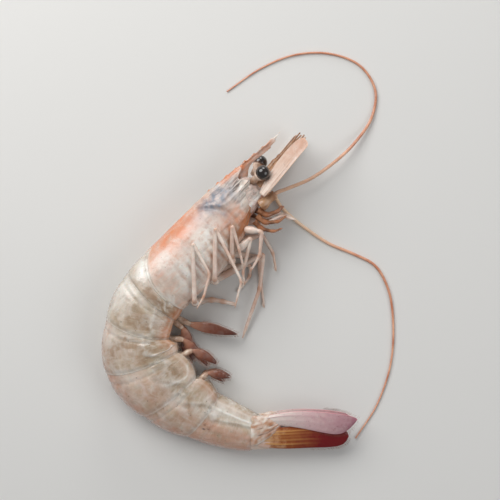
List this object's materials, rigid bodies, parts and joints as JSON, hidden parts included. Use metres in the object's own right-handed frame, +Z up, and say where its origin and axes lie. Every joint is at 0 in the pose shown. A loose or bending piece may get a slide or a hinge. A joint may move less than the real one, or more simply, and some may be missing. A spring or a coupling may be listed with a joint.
{
  "type": "raw prawn",
  "caption": "Whole raw head-on prawn lying curled on its side, with a ringed body, toothed snout, long feelers, thin legs and a tail fan, for use as food.",
  "frame": {"origin": "under the middle of the whole prawn's bounding box, on the surface it lies on", "axes": "+Z up out of its right side, which lies upwards; the head points to +X +Y, the back faces -X and the tail fan points to +X"},
  "size_m": [0.0954, 0.131, 0.0205],
  "materials": {
    "head_shell": "wet horny shell, slightly see-through, pink at its back edge",
    "body_shell": "wet horny shell, milky grey-white",
    "tail_fan": "wet thin horny blades, pink and brownish red",
    "eye": "very shiny, wet, black",
    "antennal_scale": "wet, thin, pale",
    "feeler": "wet, thin, pale reddish brown",
    "swimmeret": "wet, thin, reddish brown",
    "leg": "wet, pale cream to pink"
  },
  "bodies": {
    "root": {"abdomen_1": "body_shell", "abdomen_2": "body_shell", "abdomen_3": "body_shell", "abdomen_4": "body_shell", "abdomen_5": "body_shell", "abdomen_6": "body_shell", "antenna_left": "feeler", "antenna_right": "feeler", "antenna_root_left": "feeler", "antenna_root_right": "feeler", "antennal_scale_left": "antennal_scale", "antennal_scale_right": "antennal_scale", "antennule_left": "feeler", "antennule_right": "feeler", "carapace": "head_shell", "eye_left": "eye", "eye_right": "eye", "leg_1_left": "leg", "leg_1_right": "leg", "leg_2_left": "leg", "leg_2_right": "leg", "leg_3_left": "leg", "leg_3_right": "leg", "leg_4_left": "leg", "leg_4_right": "leg", "leg_5_left": "leg", "leg_5_right": "leg", "maxilliped_left": "leg", "maxilliped_right": "leg", "swimmeret_1_left": "swimmeret", "swimmeret_1_right": "swimmeret", "swimmeret_2_left": "swimmeret", "swimmeret_2_right": "swimmeret", "swimmeret_3_left": "swimmeret", "swimmeret_3_right": "swimmeret", "swimmeret_4_left": "swimmeret", "swimmeret_4_right": "swimmeret", "swimmeret_5_left": "swimmeret", "swimmeret_5_right": "swimmeret", "telson": "tail_fan", "uropod_inner_left": "tail_fan", "uropod_inner_right": "tail_fan", "uropod_outer_left": "tail_fan", "uropod_outer_right": "tail_fan"}
  },
  "joints": []
}
